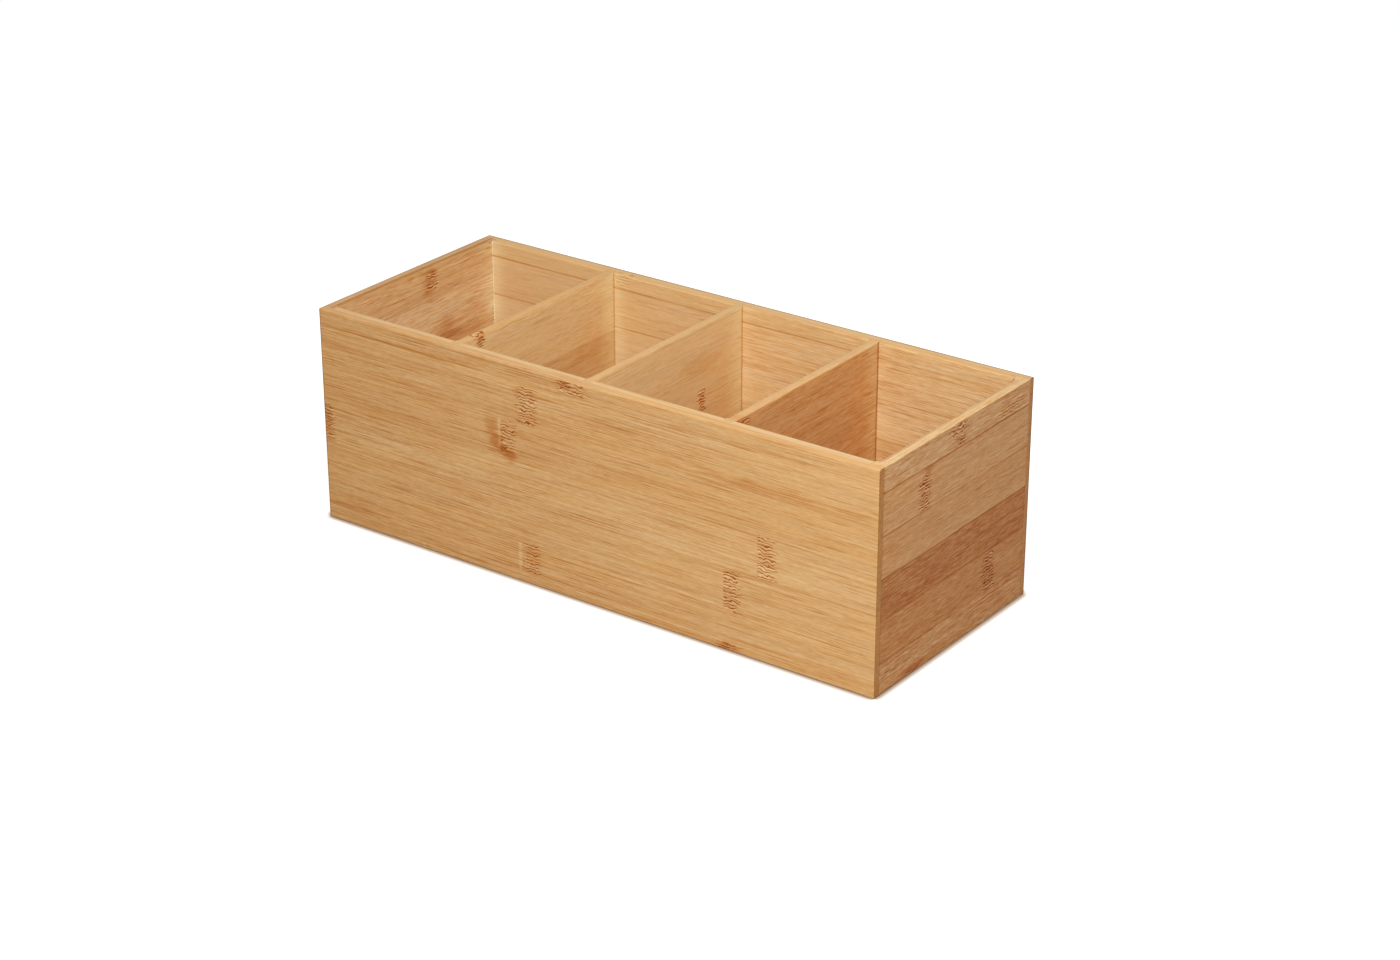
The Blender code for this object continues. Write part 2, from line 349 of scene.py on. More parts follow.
BOARDS = {
    "front_panel": Board(
        along="X", through="Y", first_joint=0.1116, seed=3.0,
        wood=(0.81, 0.64, 0.43),
        strips=(0.05, 0.0, 0.05, -0.1, 0.0, 0.0),
        knuckles=(
            Knuckle(-0.0490, 0.0700, 0.0885, 0.009, 1.2, ridge=-1.1, side=-1),
            Knuckle(-0.0360, 0.0880, 0.1095, 0.011, 1.5, swirl=1.0),
            Knuckle(-0.0070, 0.1115, 0.1190, 0.015, 1.45, swirl=8.0),
            Knuckle(-0.1725, 0.0450, 0.0670, 0.008, 1.4),
            Knuckle(-0.0345, 0.0055, 0.0225, 0.009, 1.1, ridge=-1.7),
            Knuckle(0.1110, 0.0440, 0.0680, 0.010, 1.5, side=-1),
            Knuckle(0.0905, 0.0210, 0.0440, 0.009, 1.6, side=-1),
            Knuckle(0.0885, -0.0010, 0.0045, 0.014, 1.3, ridge=0.4),
            Knuckle(-0.1080, -0.0010, 0.0035, 0.003, 0.3, ridge=0.0),
        ),
        stains=(
            Stain(-0.0520, 0.0718, 0.0045, 0.0042, 1.3),
            Stain(-0.0480, 0.0690, 0.0060, 0.0036, 1.2),
            Stain(-0.0590, 0.0810, 0.0060, 0.0090, 0.65),
            Stain(-0.0565, 0.0755, 0.0055, 0.0065, 0.95),
            Stain(-0.0310, 0.0950, 0.0040, 0.0070, 0.15),
            Stain(-0.0420, 0.1060, 0.0050, 0.0040, 0.3),
            Stain(-0.0110, 0.1165, 0.0060, 0.0030, 0.35),
            Stain(-0.1730, 0.0560, 0.0050, 0.0110, 0.4),
            Stain(-0.0340, 0.0140, 0.0070, 0.0110, 0.3),
            Stain(0.1110, 0.0600, 0.0050, 0.0060, 0.2),
            Stain(0.0900, 0.0280, 0.0045, 0.0070, 0.15),
            Stain(0.0890, 0.0020, 0.0100, 0.0030, 1.15),
            Stain(-0.1350, 0.1113, 0.0560, 0.0006, 1.0),
            Stain(-0.1600, 0.1020, 0.0500, 0.0030, 0.35),
            Stain(0.0170, 0.1010, 0.0260, 0.0018, 0.5),
            Stain(0.1150, 0.0920, 0.0750, 0.0045, 0.35),
            Stain(0.0600, 0.0790, 0.0560, 0.0018, 0.4),
            Stain(-0.1600, 0.0100, 0.0330, 0.0040, 0.35),
            Stain(0.0650, 0.0020, 0.0500, 0.0022, 0.35),
        ),
        stretch=3.6, flecks=1.2, edge_wear_and_shade=0.18,
        rim_reach=(0.22, 0.78),
        fade=Slope(-0.175, 0.175, 0.16, 0.0),
        calm=Slope(-0.05, 0.12, 1.0, 0.87),
        darkenings=(
            # The first darkening is painted shade. It browns and greys the front's left upright edge,
            # which looks away from the lamp.
            Darkening("X", -1, 0.1738, 0.4, 0.0008, on="-Y", painted_shade=0.30),
            Darkening("Y", -1, 0.0655, 0.33, 0.0022, on="Z"),
        ),
        rim=(0.85, 0.71, 0.52),
        end=(0.67, 0.48, 0.27),
    ),
    "back_panel": Board(
        along="X", through="Y", first_joint=0.1115, seed=11.0,
        wood=(0.90, 0.75, 0.54),
        strips=(0.05, 0.0, -0.1, 0.2, 0.15, 0.2),
        knuckles=(
            Knuckle(-0.0750, 0.1115, 0.1210, 0.008, 0.5),
            Knuckle(0.152, 0.0443, 0.0667, 0.010),
            Knuckle(-0.120, 0.0443, 0.0667, 0.011),
            Knuckle(0.048, 0.0219, 0.0443, 0.010),
            Knuckle(-0.020, 0.0443, 0.0667, 0.010, 0.8),
            Knuckle(-0.160, -0.0010, 0.0219, 0.012),
        ),
        corners=(
            Corner(-0.1675, -0.5, -0.30, 0.20),
            Corner(-0.0825, 1.1, -0.24, 0.22),
            Corner(0.0025, 1.2, -0.12, 0.08),
            Corner(0.0875, 2.2, -0.05, 0.05),
        ),
        darkenings=(
            # The first and last darkenings are painted shade on the rim's outer edge and on the right
            # upright edge, which look away from the lamp. The middle one browns the outer face so that it
            # doesn't show the paler wood that is painted light for the inside.
            Darkening("Y", 1, 0.0677, 0.15, 0.0009, on="Z", painted_shade=0.42),
            Darkening("Y", 1, 0.0690, 0.4, 0.0005, on="Y"),
            Darkening("Y", 1, 0.0683, 0.0, 0.0010, on="X", painted_shade=0.32),
        ),
        edge_wear_and_shade=0.15, stretch=2.2, contrast=0.8, flecks=1.2,
        glue=(0.9, 0.7, 0.3, 0.2, 0.2),
        fade=Slope(-0.175, 0.10, 0.06, 0.0),
        calm=Slope(-0.17, 0.14, 0.42, 1.15),
        rim=(0.83, 0.68, 0.48),
        end=(0.68, 0.48, 0.29),
    ),
    "left_end_panel": Board(
        along="Y", through="X", first_joint=0.1010, seed=23.0,
        wood=(0.87, 0.69, 0.48),
        strips=(0.0, -0.3, 0.05, -0.05, 0.0),
        knuckles=(
            Knuckle(0.0110, 0.1060, 0.1175, 0.008, 1.5),
            Knuckle(-0.035, 0.0562, 0.0786, 0.010),
            Knuckle(0.012, 0.0114, 0.0338, 0.011),
        ),
        stains=(
            Stain(0.0125, 0.1170, 0.0060, 0.0030, 1.0),
            Stain(0.0090, 0.1100, 0.0065, 0.0100, 0.6),
            Stain(0.0230, 0.0800, 0.0150, 0.0080, 0.75),
            Stain(0.0450, 0.0845, 0.0180, 0.0050, 0.3),
        ),
        contrast=0.95, stretch=1.4, flecks=1.0,
        shaded_rounding=True,
        painted_light=Slope(0.046, 0.062, 0.0, 0.60),
        darkenings=(
            # The first darkening is painted shade on the rim's outer edge, which looks away from the lamp.
            # The second browns the outer face so that it doesn't show the paler wood that is painted light
            # for the inside.
            Darkening("X", -1, 0.1741, 0.7, 0.0005, on="Z", painted_shade=0.15),
            Darkening("X", -1, 0.1741, 0.4, 0.0005, on="X"),
        ),
        rim=(0.77, 0.61, 0.43),
    ),
    "right_end_panel": Board(
        along="Y", through="X", first_joint=0.1064, seed=31.0,
        wood=(0.74, 0.55, 0.36),
        strips=(-0.2, 0.0, 0.1, 1.0, 0.6, 0.25),
        knuckles=(
            Knuckle(0.0000, 0.1125, 0.1195, 0.013, 1.6, swirl=5.0),
            Knuckle(0.0010, 0.1070, 0.1130, 0.006, 1.9),
            Knuckle(0.0500, 0.1070, 0.1140, 0.024, 0.9),
            Knuckle(-0.0295, 0.0845, 0.1030, 0.008, 2.0),
            Knuckle(0.0325, 0.0170, 0.0390, 0.009, 2.2),
            Knuckle(-0.0350, -0.0010, 0.0035, 0.020, 0.5),
        ),
        stains=(
            Stain(0.0010, 0.1090, 0.0030, 0.0030, 0.8),
            Stain(-0.0265, 0.1045, 0.0045, 0.0030, 0.7),
            Stain(-0.0290, 0.0930, 0.0050, 0.0090, 0.35),
            Stain(0.0335, 0.0250, 0.0050, 0.0080, 0.3),
            Stain(-0.0350, 0.0020, 0.0140, 0.0030, 0.9),
        ),
        strength=(1.25, 0.88, 0.88, 1.65, 1.25, 1.8),
        contrast=0.86, stretch=1.3, flecks=2.3, edge_wear_and_shade=-0.6,
        glue=(1.4, 1.0, 1.4, 0.4, 0.9),
        darkenings=(
            Darkening("Y", -1, 0.0653, 0.35),
            Darkening("Y", 1, 0.0653, 0.35),
        ),
        rim=(0.84, 0.69, 0.49),
        lit_rounding=-1,
    ),
    # The dividers' darker rim tone reaches down over their rounded rims: painted shade that tones down the
    # highlight the lamp puts there.
    "left_divider": Board(
        along="Y", through="X", first_joint=0.1090, seed=43.0,
        wood=(0.90, 0.74, 0.52),
        strips=(0.0, 0.05, 0.35, 0.3, 0.3, 0.3),
        knuckles=(
            Knuckle(-0.0490, 0.1125, 0.1215, 0.006, 1.8, swirl=6.0),
            Knuckle(0.020, 0.0418, 0.0642, 0.010),
        ),
        stains=(
            Stain(-0.0490, 0.1170, 0.0032, 0.0050, 0.8),
            Stain(0.0450, 0.0830, 0.0300, 0.0110, 0.18),
        ),
        contrast=0.53, stretch=1.4, edge_wear_and_shade=0.28,
        rim_reach=(0.05, 0.50),
        painted_light=Slope(0.046, 0.062, 0.0, 0.65),
        rim=(0.82, 0.65, 0.44),
    ),
    "middle_divider": Board(
        along="Y", through="X", first_joint=0.0960, seed=57.0,
        wood=(0.90, 0.74, 0.52),
        strips=(0.0, 0.1, 0.2, 0.2, 0.2),
        knuckles=(
            Knuckle(0.0270, 0.0720, 0.0850, 0.006, 1.8, swirl=3.0),
            Knuckle(-0.040, 0.0288, 0.0512, 0.010),
        ),
        stains=(
            Stain(0.0270, 0.0785, 0.0025, 0.0060, 0.6),
            Stain(0.0250, 0.0990, 0.0260, 0.0070, 0.35),
        ),
        contrast=0.43, stretch=1.4, edge_wear_and_shade=0.28,
        rim_reach=(0.05, 0.50),
        painted_light=Slope(0.046, 0.062, 0.0, 0.65),
        rim=(0.83, 0.67, 0.46),
    ),
    "right_divider": Board(
        along="Y", through="X", first_joint=0.1080, seed=61.0,
        wood=(0.86, 0.63, 0.40),
        strips=(0.05, 0.0, 0.1, 0.0, 0.1, 0.1),
        knuckles=(
            Knuckle(-0.0560, 0.1100, 0.1195, 0.009, 1.4),
            Knuckle(0.015, 0.0408, 0.0632, 0.010),
        ),
        stains=(
            Stain(-0.0580, 0.1180, 0.0060, 0.0040, 0.45),
        ),
        contrast=0.92, stretch=1.4, edge_wear_and_shade=0.12,
        rim_reach=(0.15, 0.65),
        painted_light=Slope(0.047, 0.062, 0.0, 0.85),
        rim=(0.83, 0.67, 0.47),
    ),
    "bottom_panel": Board(
        along="X", through="Z", first_joint=0.0520, seed=73.0,
        wood=(0.83, 0.65, 0.44),
        strips=(0.0, -0.05, 0.1, 0.0, -0.05, 0.1),
        knuckles=(
            Knuckle(-0.120, 0.0296, 0.0520, 0.011),
            Knuckle(0.060, 0.0072, 0.0296, 0.010),
            Knuckle(-0.030, -0.0152, 0.0072, 0.011),
            Knuckle(0.130, -0.0376, -0.0152, 0.010),
        ),
        contrast=0.75, stretch=2.2, flecks=0.9,
    ),
}


class Graph:
    """Adds linked nodes to one shader tree. A value may be a number, a tuple or another node's output."""

    def __init__(self, tree):
        self.tree = tree

    def feed(self, socket, value):
        if isinstance(value, bpy.types.NodeSocket):
            self.tree.links.new(value, socket)
        else:
            socket.default_value = value

    def node(self, kind, inputs, **settings):
        made = self.tree.nodes.new("ShaderNode" + kind)
        for key, value in settings.items():
            setattr(made, key, value)
        for key, value in inputs.items():
            self.feed(made.inputs[key], value)
        return made

    def math(self, operation, *values):
        return self.node("Math", dict(enumerate(values)), operation=operation).outputs[0]

    def product(self, first, *others):
        for other in others:
            first = self.math("MULTIPLY", first, other)
        return first

    def largest(self, values):
        result = values[0]
        for value in values[1:]:
            result = self.math("MAXIMUM", result, value)
        return result

    def apart(self, first, second):
        """How far two values lie from each other."""
        return self.math("ABSOLUTE", self.math("SUBTRACT", first, second))

    def centred(self, value, gain):
        """A value between 0 and 1 as one that swings over gain, half to either side of nothing."""
        return self.math("MULTIPLY_ADD", value, gain, -gain / 2)

    def smooth(self, value, start, end, low=0.0, high=1.0):
        """low before start, high after end, and a smooth step between."""
        inputs = {0: value, 1: start, 2: end, 3: low, 4: high}
        return self.node("MapRange", inputs, interpolation_type="SMOOTHSTEP").outputs[0]

    def vector(self, x, y, z):
        return self.node("CombineXYZ", {0: x, 1: y, 2: z}).outputs[0]

    def vector_product(self, first, second):
        return self.node("VectorMath", {0: first, 1: second}, operation="MULTIPLY").outputs[0]

    def blend(self, share, first, second, kind="MIX"):
        inputs = {0: share, 6: first, 7: second}
        return self.node("Mix", inputs, data_type="RGBA", blend_type=kind).outputs[2]

    def tint(self, colour, shares, steps):
        """Takes a colour through a number of equal steps, each of which leaves these shares of it."""
        left = self.vector(*(self.math("POWER", share, steps) for share in shares))
        return self.vector_product(colour, left)

    def noise(self, place, seed, size, detail, roughness):
        """Noise whose features measure size: along, across and through the board, in metres."""
        inputs = {
            "Vector": self.vector_product(place, tuple(1 / length for length in size)),
            "W": seed,
            "Scale": 1.0,
            "Detail": detail,
            "Roughness": roughness,
        }
        return self.node("TexNoise", inputs, noise_dimensions="4D").outputs[0]

    def pattern(self, place, seed, kind):
        """A pattern as its fields say: a mask, a value that swings about nothing, or the plain noise."""
        shifted = self.math("ADD", seed, kind.shift)
        value = self.noise(place, shifted, kind.size, kind.detail, kind.roughness)
        if kind.gain:
            return self.centred(value, kind.gain)
        if kind.step:
            return self.smooth(value, *kind.step)
        return value

    def by_index(self, index, colours):
        """A colour and its alpha for each whole number from 0, as linear values."""
        ramp = self.node("ValToRGB", {0: self.math("DIVIDE", index, float(len(colours)))})
        stops = ramp.color_ramp
        stops.interpolation = "CONSTANT"
        half_step = 0.5 / len(colours)
        for place, colour in enumerate(colours):
            start = max(0, place / len(colours) - half_step)
            stop = stops.elements[0] if place == 0 else stops.elements.new(start)
            stop.position = start
            stop.color = colour
        # A new ramp has a stop at its end as well
        stops.elements[-1].color = colours[-1]
        return ramp.outputs

    def seen(self):
        """1 for what the camera looks at, also in a reflection, and 0 for light on its way to it."""
        ray = self.node("LightPath", {}).outputs
        return self.largest([ray["Is Camera Ray"], ray["Is Glossy Ray"], ray["Is Transmission Ray"]])


def linear(tone):
    return (*Color(tone).from_srgb_to_scene_linear(), 1)


class Bamboo(Graph):
    """The wood of one board. steps adds up how far it is browned, and redness how far it is reddened."""

    def __init__(self, tree, board):
        super().__init__(tree)
        self.board = board
        self.find_place()
        self.find_strips()
        self.find_knuckles()
        self.find_stains()
        self.find_hairs()
        self.brown_fibres()
        self.brown_knuckles()
        self.brown_glue_lines()
        self.brown_edges()
        self.brown_darkenings()
        self.brown_corners()
        if board.lit_rounding:
            self.paint_lit_rounding()
        if board.shaded_rounding:
            self.paint_shaded_rounding()
        self.brown_ends()

    def brown(self, share, steps=1.0):
        self.steps = self.math("MULTIPLY_ADD", share, steps, self.steps)

    def faces(self, axis):
        """How squarely a face looks along an axis, one way or the other."""
        return self.math("ABSOLUTE", self.facing[axis])

    def find_place(self):
        """Where a point lies along, across and through the board, and which way it faces."""
        board = self.board
        texture = self.node("TexCoord", {}).outputs
        self.place = self.node("SeparateXYZ", {0: texture["Object"]}).outputs
        self.facing = self.node("SeparateXYZ", {0: texture["Normal"]}).outputs
        self.across_axis = ({"X", "Y", "Z"} - {board.along, board.through}).pop()
        self.along = self.place[board.along]
        self.across = self.place[self.across_axis]
        self.through = self.place[board.through]
        self.straight = self.vector(self.along, self.across, self.through)

    def find_strips(self):
        """Which strip a point lies in, from the top one down, and the seed of that strip."""
        board = self.board
        self.down = self.math("DIVIDE", self.math("SUBTRACT", board.first_joint, self.across), STRIP_WIDTH)
        self.strip = self.math("ADD", self.math("FLOOR", self.down), 1.0)
        lot = self.node(
            "TexWhiteNoise",
            {"Vector": self.vector(self.strip, board.seed, 0.0)},
            noise_dimensions="2D",
        ).outputs[0]
        self.seed = self.math("MULTIPLY_ADD", lot, SEED_RANGE, board.seed)

    def strip_looks(self):
        """The tone of each strip, and how much its fibres show."""
        board = self.board
        strength = board.strength or (1.0,) * len(board.strips)
        wood = linear(board.wood)[:3]
        colours = [
            (*(light * left ** steps for light, left in zip(wood, BROWNING)), share / STRENGTH_SCALE)
            for steps, share in zip(board.strips, strength)
        ]
        tone, share = self.by_index(self.strip, colours)
        return tone, self.product(share, board.contrast * STRENGTH_SCALE)

    def glue_strength(self):
        """How dark the nearest glue line is."""
        if not self.board.glue:
            return GLUE_STEPS
        colours = [(0, 0, 0, steps / STRENGTH_SCALE) for steps in self.board.glue]
        steps = self.by_index(self.math("ROUND", self.down), colours)[1]
        return self.product(steps, STRENGTH_SCALE)

    def knuckle_spread(self, knuckle, offset, inside):
        """Mask of a knuckle's bent fibres, with frayed ends or, where it has a side, a straight one."""
        half = knuckle.length / 2
        if knuckle.side:
            reach = self.math("MULTIPLY_ADD", offset, float(-knuckle.side), self.fray)
            towards_end = self.product(offset, float(knuckle.side))
            stop = self.smooth(towards_end, half, half - KNUCKLE_STOP)
        else:
            reach = self.math("ADD", self.math("ABSOLUTE", offset), self.fray)
            stop = 1.0
        far, near = KNUCKLE_REACH
        spread = self.smooth(reach, half * far, half * near, 0.0, knuckle.force)
        return self.product(spread, inside, stop)

    def find_knuckles(self):
        """Masks of the bent fibres in the knuckles, of their pale ridges and of their swirls."""
        self.fray = self.pattern(self.straight, self.seed, KNUCKLE_FRAY)
        zones, ridges, swirls = [], [0.0], [0.0]
        for knuckle in self.board.knuckles:
            half = knuckle.length / 2
            half_height = (knuckle.high - knuckle.low) / 2
            offset = self.math("SUBTRACT", self.along, knuckle.along)
            height = self.apart(self.across, (knuckle.low + knuckle.high) / 2)
            inside = self.smooth(height, half_height, half_height - KNUCKLE_BORDER)
            zones.append(self.knuckle_spread(knuckle, offset, inside))
            if knuckle.ridge is not None:
                line = self.smooth(self.apart(offset, knuckle.ridge * half), *RIDGE_REACH)
                ridges.append(self.product(line, inside))
            if knuckle.swirl:
                far, near = (half * reach for reach in SWIRL_REACH)
                curl = self.smooth(self.math("ABSOLUTE", offset), far, near, 0.0, knuckle.swirl)
                swirls.append(self.product(curl, inside))
        self.knuckles = self.largest(zones)
        self.ridges = self.largest(ridges)
        self.swirls = self.largest(swirls)
        sway = self.pattern(self.straight, self.seed, KNUCKLE_SWAY)
        self.bent = self.math("MULTIPLY_ADD", sway, self.math("MINIMUM", self.knuckles, 1.0), self.across)
        self.grain = self.vector(self.along, self.bent, self.through)

    def find_stains(self):
        torn = self.pattern(self.straight, self.seed, STAIN_EDGE)
        stains = [0.0]
        for stain in self.board.stains:
            x = self.math("DIVIDE", self.math("SUBTRACT", self.along, stain.along), stain.length)
            y = self.math("DIVIDE", self.math("SUBTRACT", self.across, stain.across), stain.height)
            far = self.math("SQRT", self.math("MULTIPLY_ADD", x, x, self.product(y, y)))
            far = self.math("MULTIPLY_ADD", torn, min(STAIN_TEAR, THIN_STAIN_TEAR * stain.height), far)
            stains.append(self.smooth(far, *STAIN_REACH, 0.0, stain.force))
        self.stains = self.largest(stains)

    def find_hairs(self):
        self.hairs = 0.0
        for index, hair in enumerate(HAIR_LAYERS):
            size = (hair.length * self.board.stretch, hair.width, hair.width)
            seed = self.math("ADD", self.seed, HAIR_SHIFT + index)
            value = self.noise(self.grain, seed, size, HAIR_DETAIL, HAIR_ROUGHNESS)
            lines = self.smooth(value, hair.start, hair.end, 0.0, hair.gain)
            self.hairs = self.math("ADD", self.hairs, lines)

    def fibre_noise(self, layer):
        size = (layer.length * self.board.stretch, layer.width, layer.width)
        return self.noise(self.grain, self.seed, size, layer.detail, FIBRE_ROUGHNESS)

    def brown_fibres(self):
        """Fibres, flecks and hairs, calmer on the rim and where the board is calm."""
        board = self.board
        self.tone, strength = self.strip_looks()
        self.on_rim = self.smooth(self.faces(self.across_axis), *board.rim_reach)
        strength = self.product(strength, self.math("MULTIPLY_ADD", self.on_rim, -RIM_CALM, 1.0))
        self.fibres = self.fibre_noise(FINE_FIBRES)
        flecks = self.centred(self.pattern(self.grain, self.seed, FLECKS), board.flecks)
        fine = self.math("ADD", self.centred(self.fibres, FINE_FIBRES.gain), flecks)
        groups = self.pattern(self.grain, self.seed, HAIR_GROUPS)
        fine = self.math("MULTIPLY_ADD", self.hairs, groups, fine)
        bands = 0.0
        for layer in FIBRE_BANDS:
            band = self.centred(self.fibre_noise(layer), layer.gain * board.contrast)
            bands = self.math("ADD", bands, band)
        self.steps = self.math("MULTIPLY_ADD", fine, strength, bands)
        if board.calm:
            self.steps = self.product(self.steps, self.smooth(self.along, *board.calm))
        if board.fade:
            self.brown(self.smooth(self.along, *board.fade))

    def brown_knuckles(self):
        """Wavy strokes in the knuckles, dark and pale in turn, their ridges, and the stains."""
        turn = self.pattern(self.straight, self.seed, STROKE_TURNS)
        turn = self.product(turn, self.math("ADD", self.swirls, STROKE_TURN))
        phase = self.math("MULTIPLY_ADD", self.bent, 2 * math.pi / STROKE_PITCH, turn)
        self.strokes = self.math("SINE", phase)
        patches = self.pattern(self.grain, self.seed, STROKE_PATCHES)
        self.dark = self.product(self.smooth(self.strokes, *DARK_STROKE), patches)
        pale = self.product(self.smooth(self.strokes, *PALE_STROKE), patches)
        wave = self.math("MULTIPLY_ADD", pale, PALE_STROKE_STEPS, BETWEEN_STROKES_STEPS)
        wave = self.math("MULTIPLY_ADD", self.dark, DARK_STROKE_STEPS, wave)
        self.brown(self.knuckles, wave)
        self.brown(self.stains)
        self.brown(self.ridges, RIDGE_STEPS)
        stain_redness = self.product(self.stains, STAIN_REDNESS)
        pale_zones = self.product(self.knuckles, pale)
        self.redness = self.math("MULTIPLY_ADD", pale_zones, PALE_STROKE_REDNESS, stain_redness)

    def brown_glue_lines(self):
        from_middle = self.apart(self.math("FRACT", self.down), 0.5)
        to_joint = self.product(self.math("SUBTRACT", 0.5, from_middle), STRIP_WIDTH)
        patches = self.pattern(self.straight, self.board.seed, GLUE_PATCHES)
        self.glue = self.product(self.smooth(to_joint, *GLUE_REACH), patches, self.glue_strength())
        self.brown(self.glue)

    def brown_edges(self):
        squarest = self.largest([self.faces(axis) for axis in "XYZ"])
        patches = self.pattern(self.straight, self.board.seed, EDGE_PATCHES)
        self.brown(self.product(self.smooth(squarest, *EASED_FACING), patches, self.board.edge_wear_and_shade))

    def brown_darkenings(self):
        """Stretches browned darker, some of them as painted shade. A list holds the share of light that
        each painted shade leaves.
        """
        self.painted_shade_shares = []
        for darkening in self.board.darkenings:
            out = self.product(self.place[darkening.axis], float(darkening.side))
            darkened = self.smooth(out, darkening.start, darkening.start + darkening.width)
            if darkening.on:
                sign = -1.0 if darkening.on[0] == "-" else 1.0
                towards = self.product(self.facing[darkening.on[-1]], sign)
                darkened = self.product(darkened, self.smooth(towards, *SIDE_FACING))
            self.brown(darkened, darkening.force)
            if darkening.painted_shade:
                self.painted_shade_shares.append(self.math("MULTIPLY_ADD", darkened, -darkening.painted_shade, 1.0))

    def brown_corners(self):
        """Seams where other boards meet the back board, with painted shade in the corner, and painted
        light that makes the wood near a corner paler and less red.
        """
        board = self.board
        inner = self.math("GREATER_THAN", self.product(self.facing["Y"], -1.0), INNER_FACING)
        painted_lights = []
        for corner in board.corners:
            off = self.math("SUBTRACT", self.along, corner.along)
            beyond = self.product(self.math("GREATER_THAN", off, CORNER_START), inner)
            seam = self.smooth(off, *SEAM_SHADING_REACH, 0.0, corner.seam)
            band = self.smooth(off, *BAND_REACH, 0.0, corner.band)
            self.brown(self.math("ADD", seam, band), beyond)
            painted_lights.append(self.product(self.smooth(off, *PAINTED_LIGHT_REACH, 0.0, corner.painted_light), beyond))
        if board.painted_light:
            on_side = self.smooth(self.faces(board.through), *SIDE_FACING)
            painted_lights.append(self.product(self.smooth(self.along, *board.painted_light), on_side))
        for share in painted_lights:
            self.brown(share, PAINTED_LIGHT_STEPS)
            self.redness = self.math("SUBTRACT", self.redness, share)

    def rounding(self, side, reach):
        """Mask of the rounded rim that looks up and to one side."""
        towards = self.product(self.facing["X"], float(side))
        return self.product(self.smooth(towards, *reach), self.smooth(self.facing["Z"], *ROUNDING_UP))

    def paint_lit_rounding(self):
        rounding = self.rounding(self.board.lit_rounding, PALE_ROUNDING_FACING)
        self.on_rim = self.product(self.on_rim, self.math("SUBTRACT", 1.0, rounding))
        self.brown(rounding, PALE_ROUNDING_STEPS)

    def paint_shaded_rounding(self):
        """The rounded rim as a dark band of painted shade, with a line along it."""
        self.on_rim = self.smooth(self.faces(self.across_axis), *FLAT_RIM_FACING)
        line = self.smooth(self.apart(self.through, RIM_LINE_PLACE), *RIM_LINE_REACH)
        line = self.product(line, self.math("GREATER_THAN", self.facing["Z"], RIM_LINE_FACING))
        self.brown(line, RIM_LINE_STEPS)
        self.shaded_rounding = self.rounding(1, DARK_ROUNDING_FACING)
        self.brown(self.shaded_rounding, DARK_ROUNDING_STEPS)

    def brown_ends(self):
        """Cut ends, which show the fibres end on, and their dark brinks."""
        facing = self.faces(self.board.along)
        self.on_end = self.smooth(facing, *END_FACING)
        self.brown(self.on_end, self.pattern(self.straight, self.seed, END_SPECKLE))
        self.brown(self.smooth(self.apart(facing, BRINK_FACING), *BRINK_REACH), BRINK_STEPS)

    def colour(self):
        board = self.board
        colour = self.blend(self.on_rim, self.tone, linear(board.rim))
        colour = self.blend(self.on_end, colour, linear(board.end))
        if board.shaded_rounding:
            colour = self.blend(self.shaded_rounding, colour, DARK_ROUNDING_SHADE, "MULTIPLY")
        colour = self.tint(colour, BROWNING, self.steps)
        colour = self.tint(colour, REDDENING, self.redness)
        hue = self.blend(self.pattern(self.grain, self.seed, BLUSH), WARM_HUE, COOL_HUE)
        for share in (hue, *self.painted_shade_shares):
            colour = self.blend(1.0, colour, share, "MULTIPLY")
        return colour

    def roughness(self):
        roughness = self.math("MULTIPLY_ADD", self.fibres, FIBRE_ROUGHENING, ROUGHNESS)
        strokes = self.product(self.knuckles, self.dark)
        return self.math("MULTIPLY_ADD", strokes, STROKE_ROUGHENING, roughness)

    def relief(self):
        """The surface direction, with fibres, hairs, strokes and glue lines sunk into it."""
        height = self.product(self.hairs, HAIR_RELIEF)
        height = self.math("MULTIPLY_ADD", self.fibres, FIBRE_RELIEF, height)
        strokes = self.product(self.knuckles, self.strokes)
        height = self.math("MULTIPLY_ADD", strokes, STROKE_RELIEF, height)
        height = self.math("MULTIPLY_ADD", self.glue, GLUE_RELIEF, height)
        inputs = {"Height": height, "Distance": RELIEF_DEPTH, "Strength": RELIEF_STRENGTH}
        return self.node("Bump", inputs).outputs[0]


def bamboo(name, board):
    """Satin bamboo for one board, laid out from the board's own place in the box."""
    material = bpy.data.materials.new(name)
    material.use_nodes = True
    wood = Bamboo(material.node_tree, board)
    surface = material.node_tree.nodes["Principled BSDF"].inputs
    wood.feed(surface["Base Color"], wood.colour())
    wood.feed(surface["Roughness"], wood.roughness())
    wood.feed(surface["Normal"], wood.relief())
    surface["Specular IOR Level"].default_value = SPECULAR_LEVEL
    return material


def new_object(name, data):
    made = bpy.data.objects.new(name, data)
    bpy.context.scene.collection.objects.link(made)
    return made


def finished_mesh(name, shape):
    """Turns a shape under work into a mesh."""
    mesh = bpy.data.meshes.new(name)
    shape.to_mesh(mesh)
    shape.free()
    return mesh


def box_mesh(name, low, high):
    """A box between two corners, in the model's frame."""
    shape = bmesh.new()
    bmesh.ops.create_cube(shape, size=1)
    bmesh.ops.scale(shape, vec=high - low, verts=shape.verts)
    bmesh.ops.translate(shape, vec=(low + high) / 2, verts=shape.verts)
    return finished_mesh(name, shape)


def fit_into_joints(name):
    """A board's lowest and highest corners, with the gaps closed that the CAD leaves in its joints."""
    low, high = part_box(name)
    close = Vector((0, CAD_GAP - JOINT_GAP, 0))
    if name in ENDS or name in DIVIDERS:
        return low - close, high + close
    return low, high


def grown(low, high, by):
    return low - Vector((by, by, by)), high + Vector((by, by, by))


